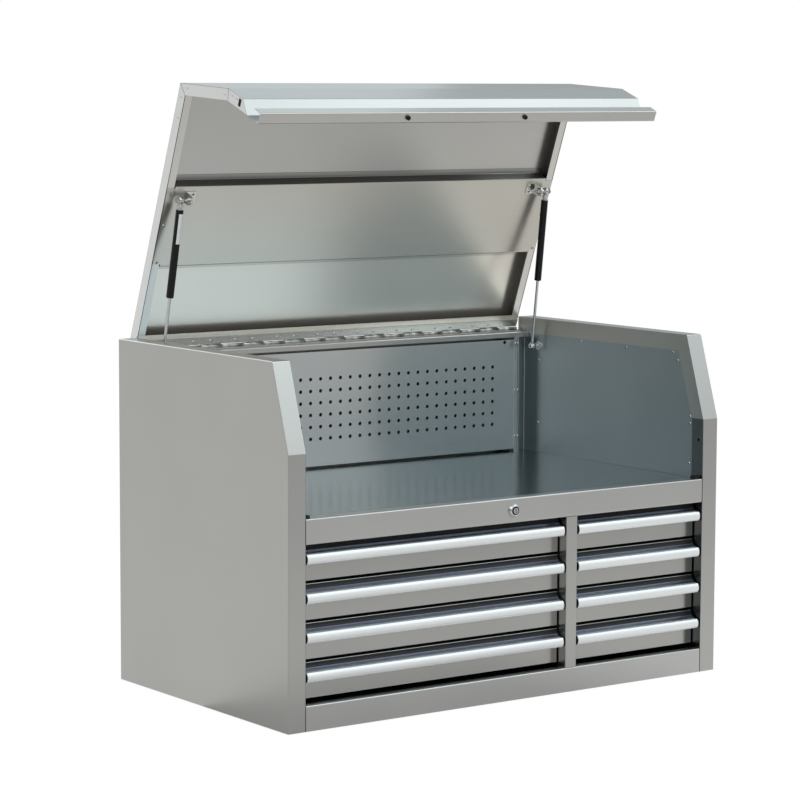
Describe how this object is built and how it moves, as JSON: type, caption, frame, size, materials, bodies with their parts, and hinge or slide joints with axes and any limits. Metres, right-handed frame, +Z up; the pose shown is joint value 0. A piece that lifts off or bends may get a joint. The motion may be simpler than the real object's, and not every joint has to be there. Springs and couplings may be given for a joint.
{
  "type": "top tool chest",
  "caption": "Stainless steel top tool chest with a sloped-front gas-strut lid over a pegboard-backed till and side-by-side banks of drawers with full-width pulls",
  "frame": {"origin": "middle of the flat base, on the surface the chest stands on", "axes": "+X to the right seen from the front, +Y to the back, +Z up; the lid is open as in the picture"},
  "size_m": [1.048, 0.6434, 1.1947],
  "materials": {
    "shell_steel": "brushed stainless sheet, grain along the width",
    "inner_steel": "smoother stainless sheet, cooler and darker",
    "drawer_steel": "brushed stainless sheet",
    "hinge_steel": "bright rolled steel",
    "slide_zinc": "zinc-plated steel",
    "stud_steel": "plated steel",
    "pull_aluminium": "bright satin extrusion with black end caps",
    "chrome": "polished chrome",
    "strut_black": "satin black paint",
    "rubber": "black moulded rubber"
  },
  "bodies": {
    "cabinet": {"side_panel_left": "shell_steel", "side_panel_right": "shell_steel", "side_liner_left": "inner_steel", "side_liner_right": "inner_steel", "back_panel": "shell_steel", "bottom_pan": "shell_steel", "top_rail": "shell_steel", "bottom_rail": "shell_steel", "center_post": "shell_steel", "divider_wall": "inner_steel", "till_floor": "inner_steel", "pegboard_panel": "inner_steel", "pegboard_posts": "inner_steel", "till_corner_pads": "rubber", "lock_barrel": "chrome", "slide_outer_members": "slide_zinc", "hinge_fixed_leaf": "hinge_steel", "hinge_pin": "hinge_steel", "strut_lower_studs": "stud_steel"},
    "lid": {"lid_shell": "shell_steel", "lid_end_left": "shell_steel", "lid_end_right": "shell_steel", "lid_stiffener": "inner_steel", "lid_bumpers": "rubber", "hinge_lid_leaf": "hinge_steel", "strut_upper_brackets": "stud_steel"},
    "lock": {"lock_plug": "chrome"},
    "strut_left_barrel": {"strut_left_cylinder": "strut_black"},
    "strut_left_plunger": {"strut_left_rod": "chrome"},
    "strut_right_barrel": {"strut_right_cylinder": "strut_black"},
    "strut_right_plunger": {"strut_right_rod": "chrome"},
    "drawer_left_1": {"drawer_left_1_box": "drawer_steel", "drawer_left_1_pull": "pull_aluminium"},
    "slide_left_1": {"drawer_left_1_slide": "slide_zinc"},
    "drawer_left_2": {"drawer_left_2_box": "drawer_steel", "drawer_left_2_pull": "pull_aluminium"},
    "slide_left_2": {"drawer_left_2_slide": "slide_zinc"},
    "drawer_left_3": {"drawer_left_3_box": "drawer_steel", "drawer_left_3_pull": "pull_aluminium"},
    "slide_left_3": {"drawer_left_3_slide": "slide_zinc"},
    "drawer_left_4": {"drawer_left_4_box": "drawer_steel", "drawer_left_4_pull": "pull_aluminium"},
    "slide_left_4": {"drawer_left_4_slide": "slide_zinc"},
    "drawer_right_1": {"drawer_right_1_box": "drawer_steel", "drawer_right_1_pull": "pull_aluminium"},
    "slide_right_1": {"drawer_right_1_slide": "slide_zinc"},
    "drawer_right_2": {"drawer_right_2_box": "drawer_steel", "drawer_right_2_pull": "pull_aluminium"},
    "slide_right_2": {"drawer_right_2_slide": "slide_zinc"},
    "drawer_right_3": {"drawer_right_3_box": "drawer_steel", "drawer_right_3_pull": "pull_aluminium"},
    "slide_right_3": {"drawer_right_3_slide": "slide_zinc"},
    "drawer_right_4": {"drawer_right_4_box": "drawer_steel", "drawer_right_4_pull": "pull_aluminium"},
    "slide_right_4": {"drawer_right_4_slide": "slide_zinc"}
  },
  "joints": [
    {"name": "lid_hinge", "type": "hinge", "parent": "cabinet", "child": "lid", "pos_m": [0, 0.309, 0.6615], "axis": [1, 0, 0], "range_deg": [0, 69]},
    {"name": "lock_turn", "type": "hinge", "parent": "cabinet", "child": "lock", "pos_m": [0, -0.305, 0.37425], "axis": [0, 1, 0], "range_deg": [0, 90]},
    {"name": "strut_left_swing", "type": "hinge", "parent": "lid", "child": "strut_left_barrel", "pos_m": [-0.4557, 0.17695, 0.96643], "axis": [1, 0, 0], "range_deg": [0, 7.57]},
    {"name": "strut_left_stroke", "type": "slide", "parent": "strut_left_barrel", "child": "strut_left_plunger", "axis": [-0.0354, 0.1655, -0.9856], "range_m": [-0.08535, 0]},
    {"name": "strut_right_swing", "type": "hinge", "parent": "lid", "child": "strut_right_barrel", "pos_m": [0.4557, 0.17695, 0.96643], "axis": [1, 0, 0], "range_deg": [0, 7.57]},
    {"name": "strut_right_stroke", "type": "slide", "parent": "strut_right_barrel", "child": "strut_right_plunger", "axis": [0.0354, 0.1655, -0.9856], "range_m": [-0.08535, 0]},
    {"name": "drawer_left_1_pull_out", "type": "slide", "parent": "cabinet", "child": "drawer_left_1", "axis": [0, -1, 0], "range_m": [0, 0.46]},
    {"name": "slide_left_1_run", "type": "slide", "parent": "cabinet", "child": "slide_left_1", "axis": [0, -1, 0], "range_m": [0, 0.231]},
    {"name": "drawer_left_2_pull_out", "type": "slide", "parent": "cabinet", "child": "drawer_left_2", "axis": [0, -1, 0], "range_m": [0, 0.46]},
    {"name": "slide_left_2_run", "type": "slide", "parent": "cabinet", "child": "slide_left_2", "axis": [0, -1, 0], "range_m": [0, 0.231]},
    {"name": "drawer_left_3_pull_out", "type": "slide", "parent": "cabinet", "child": "drawer_left_3", "axis": [0, -1, 0], "range_m": [0, 0.46]},
    {"name": "slide_left_3_run", "type": "slide", "parent": "cabinet", "child": "slide_left_3", "axis": [0, -1, 0], "range_m": [0, 0.231]},
    {"name": "drawer_left_4_pull_out", "type": "slide", "parent": "cabinet", "child": "drawer_left_4", "axis": [0, -1, 0], "range_m": [0, 0.46]},
    {"name": "slide_left_4_run", "type": "slide", "parent": "cabinet", "child": "slide_left_4", "axis": [0, -1, 0], "range_m": [0, 0.231]},
    {"name": "drawer_right_1_pull_out", "type": "slide", "parent": "cabinet", "child": "drawer_right_1", "axis": [0, -1, 0], "range_m": [0, 0.46]},
    {"name": "slide_right_1_run", "type": "slide", "parent": "cabinet", "child": "slide_right_1", "axis": [0, -1, 0], "range_m": [0, 0.231]},
    {"name": "drawer_right_2_pull_out", "type": "slide", "parent": "cabinet", "child": "drawer_right_2", "axis": [0, -1, 0], "range_m": [0, 0.46]},
    {"name": "slide_right_2_run", "type": "slide", "parent": "cabinet", "child": "slide_right_2", "axis": [0, -1, 0], "range_m": [0, 0.231]},
    {"name": "drawer_right_3_pull_out", "type": "slide", "parent": "cabinet", "child": "drawer_right_3", "axis": [0, -1, 0], "range_m": [0, 0.46]},
    {"name": "slide_right_3_run", "type": "slide", "parent": "cabinet", "child": "slide_right_3", "axis": [0, -1, 0], "range_m": [0, 0.231]},
    {"name": "drawer_right_4_pull_out", "type": "slide", "parent": "cabinet", "child": "drawer_right_4", "axis": [0, -1, 0], "range_m": [0, 0.46]},
    {"name": "slide_right_4_run", "type": "slide", "parent": "cabinet", "child": "slide_right_4", "axis": [0, -1, 0], "range_m": [0, 0.231]}
  ],
  "couplings": [
    {"joint": "strut_left_swing", "follows": "lid_hinge", "ratio": 0.10675},
    {"joint": "strut_left_stroke", "follows": "lid_hinge", "m_per_rad": -0.070457},
    {"joint": "strut_right_swing", "follows": "lid_hinge", "ratio": 0.10675},
    {"joint": "strut_right_stroke", "follows": "lid_hinge", "m_per_rad": -0.070457},
    {"joint": "slide_left_1_run", "follows": "drawer_left_1_pull_out", "ratio": 0.5},
    {"joint": "slide_left_2_run", "follows": "drawer_left_2_pull_out", "ratio": 0.5},
    {"joint": "slide_left_3_run", "follows": "drawer_left_3_pull_out", "ratio": 0.5},
    {"joint": "slide_left_4_run", "follows": "drawer_left_4_pull_out", "ratio": 0.5},
    {"joint": "slide_right_1_run", "follows": "drawer_right_1_pull_out", "ratio": 0.5},
    {"joint": "slide_right_2_run", "follows": "drawer_right_2_pull_out", "ratio": 0.5},
    {"joint": "slide_right_3_run", "follows": "drawer_right_3_pull_out", "ratio": 0.5},
    {"joint": "slide_right_4_run", "follows": "drawer_right_4_pull_out", "ratio": 0.5}
  ]
}
